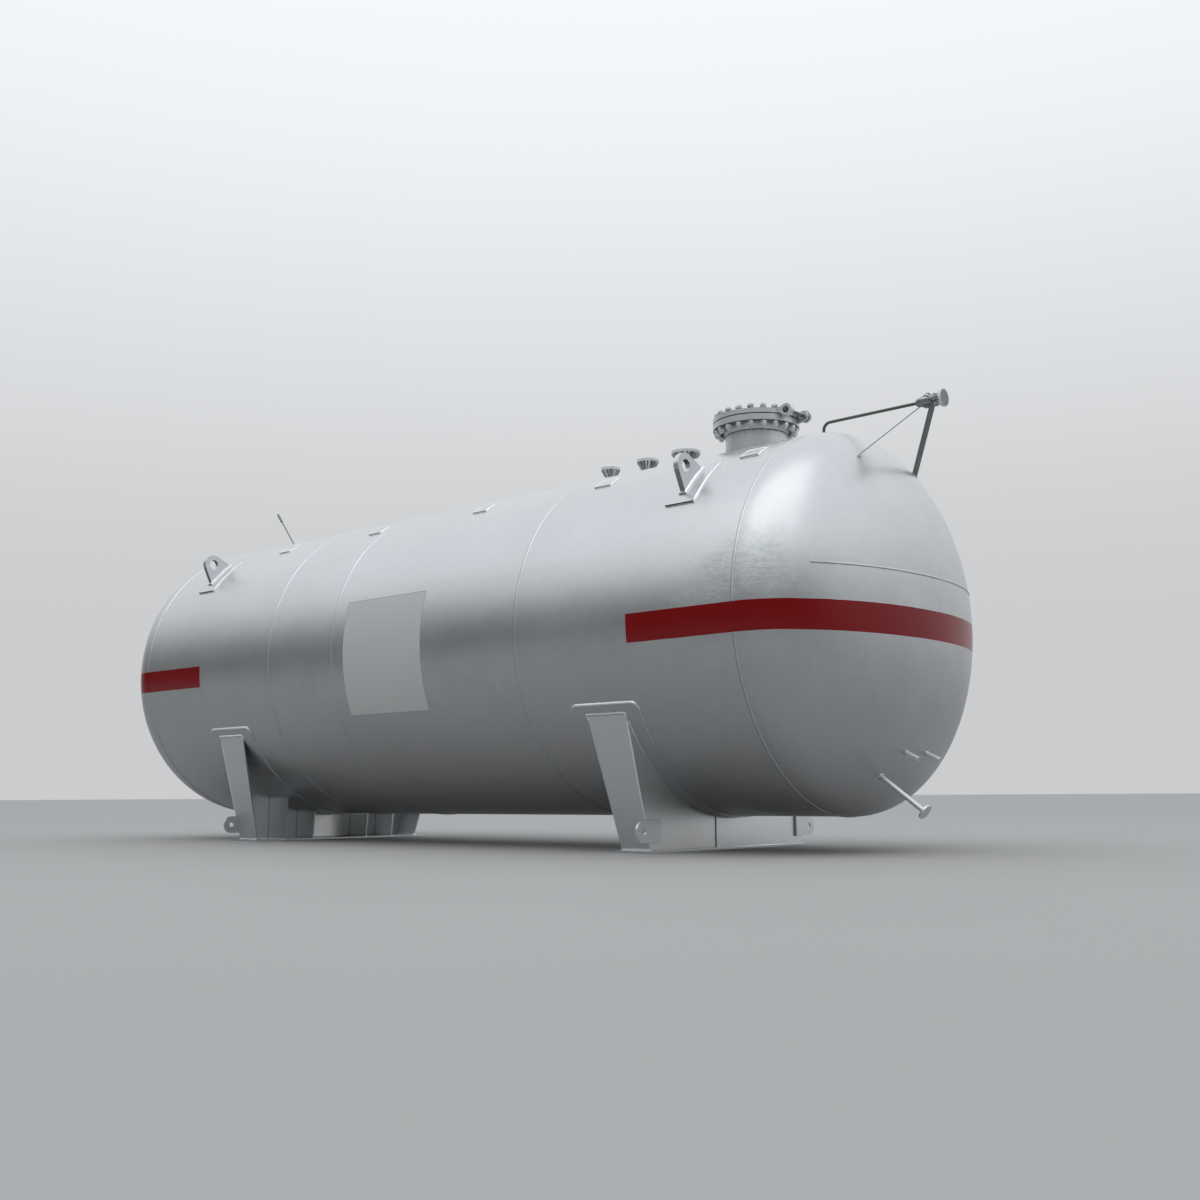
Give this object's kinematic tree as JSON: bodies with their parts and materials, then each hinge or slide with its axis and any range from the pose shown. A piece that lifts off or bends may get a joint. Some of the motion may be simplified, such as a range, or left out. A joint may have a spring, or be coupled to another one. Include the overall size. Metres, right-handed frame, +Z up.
{
  "type": "horizontal pressure tank",
  "caption": "Horizontal welded pressure tank with dished heads on two saddles, a bolted hinged manway, flanged top nozzles, lifting lugs and a gauge line.",
  "frame": {"origin": "on the floor under the middle of the whole length, midway between the sides", "axes": "+X along the tank towards the end with the manway and the gauge line, +Z up"},
  "size_m": [9.56, 3.0318, 3.7899],
  "materials": {
    "silver_paint": "satin",
    "grey_steel": "satin",
    "gasket_grey": "matt",
    "clear_film": "glossy"
  },
  "bodies": {
    "tank": {"shell_course_1": "silver_paint", "shell_course_2": "silver_paint", "shell_course_3": "silver_paint", "shell_course_4": "silver_paint", "near_head": "silver_paint", "far_head": "silver_paint", "near_base_plate": "silver_paint", "near_web": "silver_paint", "near_end_plates": "silver_paint", "near_ribs": "silver_paint", "near_wear_plate": "silver_paint", "near_tie_down_ears": "silver_paint", "far_base_plate": "silver_paint", "far_web": "silver_paint", "far_end_plates": "silver_paint", "far_ribs": "silver_paint", "far_wear_plate": "silver_paint", "far_tie_down_ears": "silver_paint", "lifting_lug_1": "silver_paint", "lifting_lug_2": "silver_paint", "lifting_lug_3": "silver_paint", "lifting_lug_4": "silver_paint", "lug_pads": "silver_paint", "near_platform_pads": "silver_paint", "far_platform_pads": "silver_paint", "manway_neck": "silver_paint", "manway_flange": "silver_paint", "manway_gasket": "gasket_grey", "hinge_ears": "silver_paint", "hinge_pin": "grey_steel", "nozzle_1": "silver_paint", "nozzle_2": "silver_paint", "nozzle_3": "silver_paint", "film_cap_1": "clear_film", "film_cap_2": "clear_film", "film_cap_3": "clear_film", "gauge_pipe": "grey_steel", "gauge_valve": "grey_steel", "gauge_flange": "grey_steel", "gauge_struts": "grey_steel", "head_stubs": "silver_paint", "drain_pipe": "silver_paint", "slanted_rod": "grey_steel"},
    "manway_lid": {"manway_cover": "silver_paint", "hinge_arms": "silver_paint"}
  },
  "joints": [
    {"name": "manway_hinge", "type": "hinge", "parent": "tank", "child": "manway_lid", "pos_m": [3.446, 0, 3.5858], "axis": [0, 1, 0], "range_deg": [0, 110]}
  ]
}
